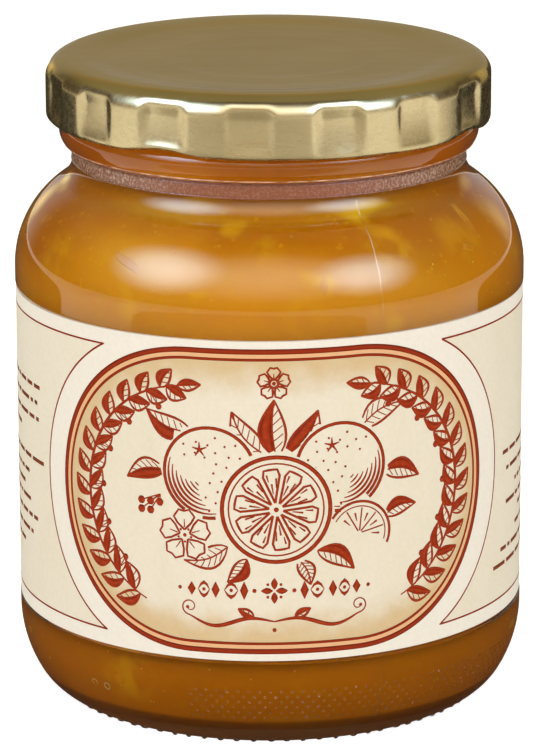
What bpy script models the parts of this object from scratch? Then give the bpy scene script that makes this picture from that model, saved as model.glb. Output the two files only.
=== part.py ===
"""A shut glass jar of orange marmalade with a fluted twist-off metal lid and a paper label."""

import math

import bmesh
import bpy
from mathutils import Matrix

# The jar stands on z = 0, its axis is z, and the middle of the label faces -Y. All sizes are in metres.

# Glass body
JAR_RADIUS = 0.0384
LABEL_PANEL_RADIUS = 0.03782
LABEL_PANEL_BOTTOM = 0.0146
LABEL_PANEL_TOP = 0.0639
PANEL_STEP = 0.0006
SHOULDER_START = 0.0660
SHOULDER_ROUNDING = 0.0154
NECK_RADIUS = 0.02945
NECK_FILLET = 0.0030
HEEL_START = 0.01344
HEEL_ROUNDING = 0.0196
BASE_ROUNDING = 0.00595
FOOT_RING_INNER_RADIUS = 0.0282
PUNT_RADIUS = 0.0262
PUNT_RISE = 0.0010
PUNT_CROWN = 0.0018

# Glass finish, the part that the lid closes
FINISH_TOP = 0.0973
FINISH_RADIUS = 0.0293
MOUTH_RADIUS = 0.0270
LIP_ROUNDING = 0.0008
BEAD_MIDDLE = 0.0869
BEAD_HALF_HEIGHT = 0.0025
BEAD_PROUD = 0.0017

# Inside of the glass
INNER_RADIUS = 0.0356
INNER_SHOULDER_ROUNDING = 0.0126
INNER_NECK_RADIUS = 0.02715
INNER_NECK_FILLET = 0.0050
INNER_HEEL_START = 0.0142
INNER_HEEL_ROUNDING = 0.0168
INNER_BASE_ROUNDING = 0.0034
FLOOR_EDGE = 0.0038
FLOOR_CROWN = 0.0052

# Marmalade, label, and the clearance between pieces
FILL_LEVEL = 0.0910
CLEARANCE = 0.0003
LABEL_BOTTOM = 0.0151
LABEL_TOP = 0.0634
LABEL_THICKNESS = 0.0002
LABEL_HALF_SWEEP = 174

# Lid
LID_TOP = 0.0981
LID_BOTTOM = 0.0888
LID_RADIUS = 0.0332
LID_ROUNDING = 0.0031
SHEET = 0.0004
RIM_INNER_RADIUS = 0.0273
PANEL_RADIUS = 0.0265
PANEL_DEPTH = 0.0008
BUTTON_RADIUS = 0.0147
BUTTON_DEPTH = 0.00035
BUTTON_SLOPE = 0.0009
CURL_RADIUS = 0.00075
FLUTES = 16
STEPS_PER_FLUTE = 8
FLUTE_DEPTH = 0.0007
FLUTE_PHASE = -4.9
FLUTE_FADE_TOP = 0.0957
FLUTE_FULL_TOP = 0.0945
FLUTE_FULL_BOTTOM = 0.0916
FLUTE_FADE_BOTTOM = 0.0896
SCOOP_SHARE = 0.19
SLOPE_SHARE = 0.12
LUGS = 4
LUG_PHASE = -28
LUG_HALF_WIDTH = 13
LUG_RISE = 0.0008
SKIRT_SKEW = 0.0004

# Facets round the jar, and on the rounds of the inside, the shoulder and the heel
ROUND_STEPS = 60
INNER_SHOULDER_STEPS = 4
INNER_HEEL_STEPS = 3
SHOULDER_STEPS = 7
HEEL_STEPS = 5
BEAD_STEPS = 6

CREASE = math.radians(32)


def clear_scene():
    for thing in list(bpy.data.objects):
        bpy.data.objects.remove(thing, do_unlink=True)


def surface(name, colour, roughness, metallic=0.0, transmission=0.0):
    material = bpy.data.materials.new(name)
    material.use_nodes = True
    shader = material.node_tree.nodes["Principled BSDF"]
    shader.inputs["Base Color"].default_value = (*colour, 1)
    shader.inputs["Roughness"].default_value = roughness
    shader.inputs["Metallic"].default_value = metallic
    shader.inputs["Transmission Weight"].default_value = transmission
    return material


def smooth(mesh):
    mesh.shade_smooth()
    mesh.set_sharp_from_angle(angle=CREASE)


def arc(centre, radius, start, end, steps, height=None):
    """Points (r, z) on an arc, or on an ellipse of another height, with both ends. Degrees, 90 is up."""
    height = radius if height is None else height
    turns = [math.radians(start + (end - start) * i / steps) for i in range(steps + 1)]
    return [(centre[0] + radius * math.cos(a), centre[1] + height * math.sin(a)) for a in turns]


def shoulder(wall, start, rounding, neck, fillet, steps):
    """From the neck down to the wall: a hollow fillet that runs into the round shoulder."""
    centre = (wall - rounding, start)
    across = neck + fillet - centre[0]
    lift = math.sqrt((rounding + fillet) ** 2 - across**2)
    turn = math.degrees(math.atan2(lift, across))
    hollow = arc((neck + fillet, start + lift), fillet, 180, 180 + turn, max(2, steps // 2))
    return hollow + arc(centre, rounding, turn, 0, steps)[1:]


def heel(wall, start, rounding, base_rounding, floor, steps):
    """From the wall down to the floor: the long round of the heel, then the tight round of the base."""
    centre = (wall - rounding, start)
    drop = start - floor - base_rounding
    across = math.sqrt((rounding - base_rounding) ** 2 - drop**2)
    turn = math.degrees(math.atan2(drop, across))
    base = (centre[0] + across, floor + base_rounding)
    return arc(centre, rounding, 0, -turn, steps) + arc(base, base_rounding, -turn, -90, steps - 1)[1:]


def turned(name, outline, collection, material, steps=ROUND_STEPS):
    """A solid of revolution. The outline is points (r, z) that run down the outer side."""
    mesh = bpy.data.meshes.new(name)
    points = [(r, 0, z) for r, z in outline]
    mesh.from_pydata(points, [(i, i + 1) for i in range(len(points) - 1)], [])
    solid = bpy.data.objects.new(name, mesh)
    collection.objects.link(solid)
    screw = solid.modifiers.new("Turn", "SCREW")
    screw.axis = "Z"
    screw.steps = steps
    screw.render_steps = steps
    screw.use_merge_vertices = True
    screw.merge_threshold = 0.00001
    screw.use_smooth_shade = True
    mesh.materials.append(material)
    return solid


def inner_shoulder(inset):
    """The inside of the shoulder and neck, or a line that lies this far within it."""
    return shoulder(
        INNER_RADIUS - inset,
        SHOULDER_START,
        INNER_SHOULDER_ROUNDING - inset,
        INNER_NECK_RADIUS - inset,
        INNER_NECK_FILLET + inset,
        INNER_SHOULDER_STEPS,
    )


def inner_heel(inset):
    """The inside of the heel down to the floor's edge, then the floor's rise to the middle."""
    round_part = heel(
        INNER_RADIUS - inset,
        INNER_HEEL_START,
        INNER_HEEL_ROUNDING - inset,
        INNER_BASE_ROUNDING - inset,
        FLOOR_EDGE + inset,
        INNER_HEEL_STEPS,
    )
    halfway = (INNER_RADIUS / 2, (FLOOR_CROWN + FLOOR_EDGE) / 2 + inset)
    return round_part + [halfway, (0, FLOOR_CROWN + inset)]


def make_jar(collection):
    """The glass, from its floor up the inside, over the lip and down the outside to the punt."""
    inside = (inner_shoulder(0) + inner_heel(0))[::-1]
    lip_height = FINISH_TOP - LIP_ROUNDING
    lip = arc((MOUTH_RADIUS + LIP_ROUNDING, lip_height), LIP_ROUNDING, 180, 90, 2)
    lip += arc((FINISH_RADIUS - LIP_ROUNDING, lip_height), LIP_ROUNDING, 90, 0, 2)
    bead = arc((NECK_RADIUS, BEAD_MIDDLE), BEAD_PROUD, 85, -90, BEAD_STEPS, height=BEAD_HALF_HEIGHT)
    outside = shoulder(JAR_RADIUS, SHOULDER_START, SHOULDER_ROUNDING, NECK_RADIUS, NECK_FILLET, SHOULDER_STEPS)
    outside += [
        (JAR_RADIUS, LABEL_PANEL_TOP + PANEL_STEP),
        (LABEL_PANEL_RADIUS, LABEL_PANEL_TOP),
        (LABEL_PANEL_RADIUS, LABEL_PANEL_BOTTOM),
        (JAR_RADIUS, LABEL_PANEL_BOTTOM - PANEL_STEP),
    ]
    outside += heel(JAR_RADIUS, HEEL_START, HEEL_ROUNDING, BASE_ROUNDING, 0, HEEL_STEPS)
    foot = [(FOOT_RING_INNER_RADIUS, 0), (PUNT_RADIUS, PUNT_RISE), (0, PUNT_CROWN)]
    glass = surface("clear_glass", (0.96, 0.97, 0.95), 0.02, transmission=1.0)
    return turned("jar", inside + lip + bead + outside + foot, collection, glass)


def make_marmalade(collection):
    """The fill, clear of the glass all round, up to a flat level just under the lid."""
    level = [(0, FILL_LEVEL), (INNER_NECK_RADIUS - CLEARANCE, FILL_LEVEL)]
    outline = level + inner_shoulder(CLEARANCE) + inner_heel(CLEARANCE)
    fruit = surface("orange_marmalade", (0.62, 0.26, 0.03), 0.25)
    return turned("marmalade", outline, collection, fruit)


def make_label(collection):
    """The paper, a thin skin round the panel, whose ends leave a narrow gap at the back."""
    step = 360 // ROUND_STEPS
    radius = LABEL_PANEL_RADIUS + CLEARANCE
    mesh = bpy.data.meshes.new("label")
    paper = bmesh.new()
    turns = [math.radians(-90 + turn) for turn in range(-LABEL_HALF_SWEEP, LABEL_HALF_SWEEP + 1, step)]
    lower = [paper.verts.new((radius * math.cos(a), radius * math.sin(a), LABEL_BOTTOM)) for a in turns]
    edges = [paper.edges.new(pair) for pair in zip(lower, lower[1:])]
    raised = bmesh.ops.extrude_edge_only(paper, edges=edges)["geom"]
    upper = [piece for piece in raised if isinstance(piece, bmesh.types.BMVert)]
    bmesh.ops.translate(paper, verts=upper, vec=(0, 0, LABEL_TOP - LABEL_BOTTOM))
    if paper.faces[:][0].calc_center_median().dot(paper.faces[:][0].normal) < 0:
        bmesh.ops.reverse_faces(paper, faces=paper.faces)
    paper.to_mesh(mesh)
    paper.free()
    label = bpy.data.objects.new("label", mesh)
    collection.objects.link(label)
    wall = label.modifiers.new("Paper thickness", "SOLIDIFY")
    wall.thickness = LABEL_THICKNESS
    wall.offset = 1
    wall.use_even_offset = True
    smooth(mesh)
    mesh.materials.append(surface("label_paper", (0.80, 0.74, 0.60), 0.6))
    return label


def lid_outline():
    """Points (r, z) from the top's middle down the skirt, round the curl and back inside to the middle."""
    panel = LID_TOP - PANEL_DEPTH
    button = panel - BUTTON_DEPTH
    rounding = (LID_RADIUS - LID_ROUNDING, LID_TOP - LID_ROUNDING)
    curl = (LID_RADIUS - CURL_RADIUS, LID_BOTTOM + CURL_RADIUS)
    top = [(0, button), (BUTTON_RADIUS, button), (BUTTON_RADIUS + BUTTON_SLOPE, panel)]
    top += [(PANEL_RADIUS, panel), (RIM_INNER_RADIUS, LID_TOP)]
    skirt = arc(rounding, LID_ROUNDING, 90, 0, 4)
    skirt += [(LID_RADIUS, FLUTE_FULL_TOP), (LID_RADIUS, FLUTE_FULL_BOTTOM)]
    skirt += arc(curl, CURL_RADIUS, 0, -180, 4)
    within = [(LID_RADIUS - SHEET, FLUTE_FADE_BOTTOM), (LID_RADIUS - SHEET, FLUTE_FULL_BOTTOM)]
    within += [(LID_RADIUS - SHEET, FLUTE_FULL_TOP), (LID_RADIUS - LID_ROUNDING, LID_TOP - SHEET)]
    within += [(RIM_INNER_RADIUS + SHEET, LID_TOP - SHEET), (PANEL_RADIUS + SHEET, panel - SHEET)]
    return top + skirt + within + [(0, button - SHEET)]


def ease(value):
    value = min(1, max(0, value))
    return value * value * (3 - 2 * value)


def off_centre(turn, count, phase):
    """Degrees from the middle of the nearest of so many equal marks round the lid."""
    pitch = 360 / count
    return abs((turn - phase + pitch / 2) % pitch - pitch / 2)


def flute(turn):
    """1 in the scooped half of a flute, 0 on the proud half. The turn is in degrees from the front."""
    pitch = 360 / FLUTES
    return 1 - ease((off_centre(turn, FLUTES, FLUTE_PHASE) / pitch - SCOOP_SHARE) / SLOPE_SHARE)


def lug(turn):
    """1 over the middle of a lug, 0 between the lugs."""
    return 1 - ease(off_centre(turn, LUGS, LUG_PHASE) / LUG_HALF_WIDTH)


def press_skirt(mesh):
    """Scoops the flutes into the skirt, and draws its lower edge up over the lugs and slightly askew."""
    for vertex in mesh.vertices:
        x, y, z = vertex.co
        radius = math.hypot(x, y)
        if radius < LID_RADIUS - LID_ROUNDING - SHEET:
            continue
        turn = math.degrees(math.atan2(x, -y))
        below_rim = ease((LID_TOP - z) / (LID_TOP - FLUTE_FADE_TOP))
        above_curl = ease((z - FLUTE_FADE_BOTTOM) / (FLUTE_FULL_BOTTOM - FLUTE_FADE_BOTTOM))
        scale = 1 - FLUTE_DEPTH * flute(turn) * below_rim * above_curl / radius
        at_edge = ease((FLUTE_FULL_BOTTOM - z) / (FLUTE_FULL_BOTTOM - LID_BOTTOM))
        z += at_edge * (LUG_RISE * lug(turn) - SKIRT_SKEW * math.sin(math.radians(turn)))
        vertex.co = (x * scale, y * scale, z)


def make_lid(collection):
    """The lid, turned from its outline with the same number of facets in every flute."""
    gold = surface("gold_tinplate", (0.60, 0.50, 0.29), 0.3, metallic=1.0)
    lid = turned("lid", lid_outline(), collection, gold, steps=FLUTES * STEPS_PER_FLUTE)
    lid.data.transform(Matrix.Rotation(math.radians(FLUTE_PHASE), 4, "Z"))
    graph = bpy.context.evaluated_depsgraph_get()
    mesh = bpy.data.meshes.new_from_object(lid.evaluated_get(graph))
    lid.modifiers.clear()
    lid.data = mesh
    press_skirt(mesh)
    smooth(mesh)
    return lid


def main():
    clear_scene()
    collection = bpy.data.collections.new("marmalade_jar")
    bpy.context.scene.collection.children.link(collection)
    make_jar(collection)
    make_marmalade(collection)
    make_label(collection)
    make_lid(collection)


main()
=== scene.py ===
import math
import random

import bpy
from mathutils import Matrix, Vector


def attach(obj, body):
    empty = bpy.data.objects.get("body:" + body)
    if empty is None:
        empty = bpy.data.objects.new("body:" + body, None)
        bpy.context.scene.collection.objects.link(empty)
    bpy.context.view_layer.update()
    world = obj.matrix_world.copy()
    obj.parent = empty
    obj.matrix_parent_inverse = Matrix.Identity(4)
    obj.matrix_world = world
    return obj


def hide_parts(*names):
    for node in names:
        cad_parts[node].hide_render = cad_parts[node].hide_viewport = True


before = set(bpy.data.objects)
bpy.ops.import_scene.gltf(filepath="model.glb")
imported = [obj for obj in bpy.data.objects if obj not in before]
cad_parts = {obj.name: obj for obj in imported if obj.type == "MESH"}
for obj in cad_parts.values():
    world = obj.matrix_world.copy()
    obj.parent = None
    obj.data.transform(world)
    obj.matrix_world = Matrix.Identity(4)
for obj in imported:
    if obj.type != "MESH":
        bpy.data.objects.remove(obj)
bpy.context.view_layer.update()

# The jar stands on z = 0 with its axis on z, and the middle of the label faces -Y. Sizes are in metres.
# A place round the jar is a turn in degrees from the front, positive towards +X.

mm = 0.001
weld = 0.002 * mm
random.seed(63)


def deselectAll():
    bpy.ops.object.select_all(action="DESELECT")


def editAll():
    bpy.ops.object.mode_set(mode="EDIT")
    bpy.ops.mesh.select_all(action="SELECT")


def leaveEdit():
    bpy.ops.object.mode_set(mode="OBJECT")


def pickOnly(piece):
    deselectAll()
    piece.select_set(True)
    bpy.context.view_layer.objects.active = piece


def arcPoints(centre, radius, start, end, steps, height=None):
    # points on an arc, or on an ellipse of another height; degrees, 90 is up
    height = radius if height is None else height
    turns = [math.radians(start + (end - start) * i / steps) for i in range(steps + 1)]
    return [(centre[0] + radius * math.cos(a), centre[1] + height * math.sin(a)) for a in turns]


def ease(value):
    value = min(1, max(0, value))
    return value * value * (3 - 2 * value)


def easedPoints(start, end, steps):
    # a soft step from one radius and height to another
    points = []
    for i in range(steps + 1):
        share = i / steps
        points.append((start[0] + (end[0] - start[0]) * share, start[1] + (end[1] - start[1]) * ease(share)))
    return points


def straightPoints(start, end, steps):
    return [tuple(a + (b - a) * i / steps for a, b in zip(start, end)) for i in range(steps + 1)]


def withoutRepeats(points):
    kept = points[:1]
    for point in points[1:]:
        if math.dist(point, kept[-1]) > 0.01 * mm:
            kept.append(point)
    return kept


def turnPiece(name, outline, steps, sweep=360, start=0, closeOutline=False):
    # a half outline (radius, height) is drawn point by point beside the axis and turned round it
    outline = withoutRepeats(outline)
    deselectAll()
    bpy.ops.mesh.primitive_plane_add(size=mm, location=(outline[0][0], 0, outline[0][1]))
    piece = bpy.context.object
    piece.name = name
    bpy.ops.object.transform_apply(location=True, rotation=True, scale=True)
    editAll()
    bpy.ops.mesh.merge(type="CENTER")
    for before, after in zip(outline, outline[1:]):
        step = (after[0] - before[0], 0, after[1] - before[1])
        bpy.ops.mesh.extrude_vertices_move(TRANSFORM_OT_translate={"value": step})
    bpy.ops.mesh.select_all(action="SELECT")
    if closeOutline:
        bpy.ops.mesh.edge_face_add()
        bpy.ops.mesh.delete(type="ONLY_FACE")
        bpy.ops.mesh.select_all(action="SELECT")
    bpy.ops.transform.rotate(value=-math.radians(start), orient_axis="Z", center_override=(0, 0, 0))
    leaveEdit()
    bpy.ops.object.modifier_add(type="SCREW")
    turn = piece.modifiers[-1]
    turn.axis = "Z"
    turn.angle = math.radians(sweep)
    turn.steps = turn.render_steps = steps
    turn.use_merge_vertices = sweep == 360
    turn.merge_threshold = weld
    bpy.ops.object.modifier_apply(modifier=turn.name)
    editAll()
    bpy.ops.mesh.remove_doubles(threshold=weld)
    if sweep < 360:
        bpy.ops.mesh.select_non_manifold()
        bpy.ops.mesh.edge_face_add()
        bpy.ops.mesh.select_all(action="SELECT")
    bpy.ops.mesh.normals_make_consistent(inside=False)
    leaveEdit()
    return piece


def smoothShade(piece, angle=40):
    pickOnly(piece)
    bpy.ops.object.shade_smooth_by_angle(angle=math.radians(angle))


def curvePiece(name, runs, depth, resolution, twist="MINIMUM"):
    # tubes along runs of (place, radius), turned into one mesh
    curve = bpy.data.curves.new(name, "CURVE")
    curve.dimensions = "3D"
    curve.twist_mode = twist
    curve.bevel_depth = depth
    curve.bevel_resolution = resolution
    curve.use_fill_caps = True
    for run in runs:
        spline = curve.splines.new("POLY")
        spline.points.add(len(run) - 1)
        for point, (place, radius) in zip(spline.points, run):
            point.co = (*place, 1)
            point.radius = radius
    drawn = bpy.data.objects.new(name, curve)
    bpy.context.scene.collection.objects.link(drawn)
    pickOnly(drawn)
    bpy.ops.object.convert(target="MESH")
    return bpy.context.object


def joinPieces(pieces, name):
    pickOnly(pieces[0])
    for piece in pieces:
        piece.select_set(True)
    bpy.ops.object.join()
    pieces[0].name = name
    return pieces[0]


def placeAt(radius, height, turn):
    a = math.radians(turn)
    return Vector((radius * math.sin(a), -radius * math.cos(a), height))


def standOn(piece, material, replaced=None):
    # the finish and the body of a finished piece, and hiding the imported part that it replaces
    piece.data.materials.clear()
    piece.data.materials.append(material)
    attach(piece, "root")
    if replaced:
        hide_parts(replaced)


# Node helpers


class Amount:
    # a number in a node tree, whose sums and products become maths nodes
    def __init__(self, tree, socket):
        self.tree = tree
        self.socket = socket

    def maths(self, operation, *others):
        made = self.tree.nodes.new("ShaderNodeMath")
        made.operation = operation
        for socket, value in zip(made.inputs, (self, *others)):
            feed(self.tree, socket, value)
        return Amount(self.tree, made.outputs[0])

    def __add__(self, other):
        return self.maths("ADD", other)

    def __sub__(self, other):
        return self.maths("SUBTRACT", other)

    def __rsub__(self, other):
        return (self - other) * -1

    def __mul__(self, other):
        return self.maths("MULTIPLY", other)

    def __abs__(self):
        return self.maths("ABSOLUTE")


def feed(tree, socket, value):
    # a link from another node, or a plain value; a colour gets its fourth number
    value = value.socket if isinstance(value, Amount) else value
    if isinstance(value, bpy.types.NodeSocket):
        tree.links.new(value, socket)
    else:
        socket.default_value = (*value, 1) if socket.type == "RGBA" else value


def newMaterial(name, values):
    material = bpy.data.materials.new(name)
    material.use_nodes = True
    tree = material.node_tree
    shader = tree.nodes["Principled BSDF"]
    for socket, value in values.items():
        feed(tree, shader.inputs[socket], value)
    return material, tree, shader


def lengthOf(across, up):
    return (across * across + up * up).maths("SQRT")


def blend(mask, first, second):
    made = mask.tree.nodes.new("ShaderNodeMix")
    made.data_type = "RGBA"
    for place, value in ((0, mask), (6, first), (7, second)):
        feed(mask.tree, made.inputs[place], value)
    return made.outputs[2]


def between(value, low, high, lowResult=0.0, highResult=1.0):
    made = value.tree.nodes.new("ShaderNodeMapRange")
    made.interpolation_type = "SMOOTHSTEP"
    for socket, number in zip(made.inputs, (value, low, high, lowResult, highResult)):
        feed(value.tree, socket, number)
    return Amount(value.tree, made.outputs[0])


def partsOf(tree, vector):
    split = tree.nodes.new("ShaderNodeSeparateXYZ")
    tree.links.new(vector, split.inputs[0])
    return [Amount(tree, part) for part in split.outputs]


def objectPlace(tree, stretch=(1, 1, 1)):
    place = tree.nodes.new("ShaderNodeTexCoord")
    mapping = tree.nodes.new("ShaderNodeMapping")
    mapping.inputs["Scale"].default_value = stretch
    tree.links.new(place.outputs["Object"], mapping.inputs["Vector"])
    return mapping.outputs["Vector"]


def objectParts(tree):
    return partsOf(tree, objectPlace(tree))


def makeMottleGroup():
    # soft patches at one size: where the noise passes Start it fades in up to Full
    group = bpy.data.node_groups.new("mottle", "ShaderNodeTree")
    face = group.interface
    face.new_socket("Place", in_out="INPUT", socket_type="NodeSocketVector")
    for name, value in (("Patches per metre", 200.0), ("Fineness", 3.0), ("Start", 0.4), ("Full", 0.6)):
        face.new_socket(name, in_out="INPUT", socket_type="NodeSocketFloat").default_value = value
    face.new_socket("Mask", in_out="OUTPUT", socket_type="NodeSocketFloat")
    face.new_socket("Raw", in_out="OUTPUT", socket_type="NodeSocketFloat")
    into = group.nodes.new("NodeGroupInput")
    out = group.nodes.new("NodeGroupOutput")
    noise = group.nodes.new("ShaderNodeTexNoise")
    for name, socket in (("Place", "Vector"), ("Patches per metre", "Scale"), ("Fineness", "Detail")):
        group.links.new(into.outputs[name], noise.inputs[socket])
    raw = Amount(group, noise.outputs[0])
    feed(group, out.inputs["Mask"], between(raw, into.outputs["Start"], into.outputs["Full"]))
    feed(group, out.inputs["Raw"], raw)
    return group


mottleGroup = makeMottleGroup()


def mottle(tree, perMetre, fineness=3.0, start=0.4, full=0.6, stretch=(1, 1, 1)):
    # the mask of the patches, and the raw noise behind it
    made = tree.nodes.new("ShaderNodeGroup")
    made.node_tree = mottleGroup
    for socket, value in zip(made.inputs, (objectPlace(tree, stretch), perMetre, fineness, start, full)):
        feed(tree, socket, value)
    return [Amount(tree, result) for result in made.outputs]


def bump(shader, height, distance, strength):
    made = height.tree.nodes.new("ShaderNodeBump")
    for name, value in (("Strength", strength), ("Distance", distance), ("Height", height)):
        feed(height.tree, made.inputs[name], value)
    height.tree.links.new(made.outputs["Normal"], shader.inputs["Normal"])


# Camera, floor and light

view = {"distance": 0.6371, "height": 0.22377, "lens": 207.81, "pitch": 15.443, "yaw": 0.0185, "roll": -0.166}


def setCamera():
    pitch, yaw, roll = (math.radians(view[name]) for name in ("pitch", "yaw", "roll"))
    ahead = Vector((math.sin(yaw) * math.cos(pitch), math.cos(yaw) * math.cos(pitch), -math.sin(pitch)))
    right = Vector((math.cos(yaw), -math.sin(yaw), 0))
    up = right.cross(ahead)
    across = math.cos(roll) * right + math.sin(roll) * up
    above = math.cos(roll) * up - math.sin(roll) * right
    turned = Matrix((across, above, -ahead)).transposed()
    bpy.ops.object.camera_add(location=(0, -view["distance"], view["height"]), rotation=turned.to_euler())
    camera = bpy.context.object
    camera.name = "camera"
    camera.data.lens = view["lens"]
    camera.data.sensor_width = 36
    camera.data.clip_start = 0.01
    bpy.context.scene.camera = camera


studio = {
    "floorSize": 8,
    "floorColour": (0.95, 0.95, 0.94),
    "floorGlow": 0.74,
    "dim": (0.14, 0.105, 0.06),
    "above": (0.42, 0.37, 0.20),
    "horizon": (0.60, 0.46, 0.24),
    "back": (0.55, 0.55, 0.57),
    "backHigh": (0.68, 0.48, 0.20),
    # lamps that light matt surfaces: (turn, elevation, distance, width, height, brightness)
    "mattLamps": {
        "keyLeft": (-53, 33, 0.85, 0.80, 0.62, 1.25),
        "keyRight": (49, 30, 0.85, 0.62, 0.52, 1.60),
        "frontFill": (0, 36, 1.20, 2.00, 1.00, 0.20),
    },
    # lamps that only reflections show, fading to their edges: (the same six, colour)
    "glossLamps": {
        "hotLeft": (-53, 34, 0.84, 0.92, 0.86, 3.8, (0.74, 1.05, 1.60)),
        "hotRight": (47, 30, 0.84, 0.84, 0.74, 3.5, (0.74, 1.05, 1.60)),
        "frontGloss": (0, 35, 1.15, 2.60, 1.35, 1.2, (0.95, 1.0, 1.10)),
        "backLeft": (-156, 5, 0.90, 0.26, 0.30, 0.6, (1.0, 0.84, 0.25)),
        "backRight": (143, 11, 0.90, 0.36, 0.52, 0.35, (1.0, 0.80, 0.25)),
    },
    # cards on the floor, which only reflections and the view through the glass show:
    # (name, radius, place, lift, colour)
    "cards": (
        # cardUnder is painted shade: a brown sheet that the view through the foot and its reflections see in
        # place of the jar's shadow
        ("cardUnder", 0.075, (0, 0), -0.05 * mm, (0.13, 0.045, 0.006)),
        ("cardRound", 0.10, (0, 0), -0.10 * mm, (0.03, 0.025, 0.02)),
        ("cardBehind", 1.2, (0, 1.22), -0.12 * mm, (0.03, 0.025, 0.02)),
        ("cardFront", 0.33, (-0.07, -0.42), -0.14 * mm, (0.80, 0.77, 0.69)),
    ),
}


def makeLamp(name, glossOnly, turn, elevation, distance, width, height, brightness, colour=(1, 1, 1)):
    a, e = math.radians(turn), math.radians(elevation)
    towards = Vector((math.sin(a) * math.cos(e), -math.cos(a) * math.cos(e), math.sin(e)))
    place = towards * distance + Vector((0, 0, 0.06))
    bpy.ops.object.light_add(type="AREA", location=place, rotation=towards.to_track_quat("Z", "Y").to_euler())
    lamp = bpy.context.object
    lamp.name = name
    lamp.data.shape = "RECTANGLE"
    lamp.data.size = width
    lamp.data.size_y = height
    lamp.data.color = colour
    lamp.data.energy = brightness * 4 * width * height
    lamp.visible_diffuse = not glossOnly
    lamp.visible_glossy = glossOnly
    if not glossOnly:
        return
    lamp.data.use_nodes = True
    tree = lamp.data.node_tree
    emission = next(n for n in tree.nodes if n.type == "EMISSION")
    geometry = tree.nodes.new("ShaderNodeNewGeometry")
    across, up, _ = partsOf(tree, geometry.outputs["Parametric"])
    fromMiddle = lengthOf(across - 0.5, up - 0.5)
    feed(tree, emission.inputs["Strength"], between(fromMiddle, 0.03, 0.5, 1.8, 0.0))


def makeFloor():
    bpy.ops.mesh.primitive_plane_add(size=studio["floorSize"], location=(0, 0, -0.2 * mm))
    floor = bpy.context.object
    floor.name = "floor"
    floor.data.materials.append(newMaterial("paleFloor", {
        "Base Color": studio["floorColour"], "Roughness": 0.9,
        "Emission Color": (1, 1, 1), "Emission Strength": studio["floorGlow"]})[0])


def makeCards():
    for name, radius, place, lift, colour in studio["cards"]:
        bpy.ops.mesh.primitive_circle_add(
            vertices=64, radius=radius, fill_type="NGON", location=(*place, lift))
        card = bpy.context.object
        card.name = name
        card.data.materials.append(newMaterial(name, {"Base Color": colour, "Roughness": 1.0})[0])
        for ray in ("camera", "diffuse", "shadow", "volume_scatter"):
            setattr(card, "visible_" + ray, False)


def setWorld():
    # dim all round, warmer along the horizon in front, and light behind, where the lid's top looks
    world = bpy.data.worlds.new("studio")
    bpy.context.scene.world = world
    world.use_nodes = True
    tree = world.node_tree
    _, y, z = partsOf(tree, tree.nodes.new("ShaderNodeTexCoord").outputs["Generated"])
    overhead = between(z, 0.30, 0.62) * between(y, -0.28, -0.05)
    low = between(y, 0.2, -0.4) * between(z, 0.45, 0.15)
    behind = between(y, 0.68, 0.93) * between(z, 0.95, 0.65)
    back = blend(between(z, 0.38, 0.52), studio["back"], studio["backHigh"])
    colour = blend(overhead, studio["dim"], studio["above"])
    colour = blend(low, colour, studio["horizon"])
    feed(tree, tree.nodes["Background"].inputs["Color"], blend(behind, colour, back))


def setStudio():
    makeFloor()
    makeCards()
    setWorld()
    for name, facts in studio["mattLamps"].items():
        makeLamp(name, False, *facts)
    for name, facts in studio["glossLamps"].items():
        makeLamp(name, True, *facts)
    bpy.context.scene.view_settings.view_transform = "Standard"


setCamera()
setStudio()
print("camera, floor and light are set")


# Glass jar

jar = {
    "steps": 360,
    "radius": 38.40 * mm,
    "panelRadius": 37.82 * mm,
    "panelBottom": 14.85 * mm,
    "panelTop": 63.66 * mm,
    "panelStep": 0.12 * mm,
    "shoulder": {"start": 66.0 * mm, "rounding": 15.4 * mm, "neck": 29.45 * mm, "fillet": 5.0 * mm},
    "heel": {"start": 13.25 * mm, "rounding": 18.4 * mm, "base": 8.0 * mm},
    "ringInner": 28.0 * mm,
    "punt": 26.2 * mm,
    "puntRise": 1.0 * mm,
    "puntCrown": 1.8 * mm,
    "finishTop": 97.3 * mm,
    "finishRadius": 29.3 * mm,
    "mouth": 27.0 * mm,
    "lip": 0.8 * mm,
    "bead": {"middle": 86.9 * mm, "half": 2.5 * mm, "proud": 2.0 * mm},
    "inner": 35.6 * mm,
    "innerShoulder": {"start": 66.0 * mm, "rounding": 12.6 * mm, "neck": 27.15 * mm, "fillet": 7.0 * mm},
    "innerHeel": {"start": 14.2 * mm, "rounding": 16.8 * mm, "base": 3.4 * mm},
    "floorEdge": 3.8 * mm,
    "floorCrown": 5.2 * mm,
    "colour": (0.985, 0.97, 0.93),
    "tint": (1.0, 0.93, 0.70),
    "waves": 60,
    "waveHeight": 0.02 * mm,
}


def shoulderPoints(wall, sizes, steps):
    centre = (wall - sizes["rounding"], sizes["start"])
    across = sizes["neck"] + sizes["fillet"] - centre[0]
    lift = math.sqrt((sizes["rounding"] + sizes["fillet"]) ** 2 - across**2)
    turn = math.degrees(math.atan2(lift, across))
    hollowCentre = (sizes["neck"] + sizes["fillet"], sizes["start"] + lift)
    hollow = arcPoints(hollowCentre, sizes["fillet"], 180, 180 + turn, steps // 2)
    return hollow + arcPoints(centre, sizes["rounding"], turn, 0, steps)


def heelPoints(wall, sizes, floor, steps):
    centre = (wall - sizes["rounding"], sizes["start"])
    drop = sizes["start"] - floor - sizes["base"]
    across = math.sqrt((sizes["rounding"] - sizes["base"]) ** 2 - drop**2)
    turn = math.degrees(math.atan2(drop, across))
    base = (centre[0] + across, floor + sizes["base"])
    side = arcPoints(centre, sizes["rounding"], 0, -turn, steps)
    return side + arcPoints(base, sizes["base"], -turn, -90, steps)


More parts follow.
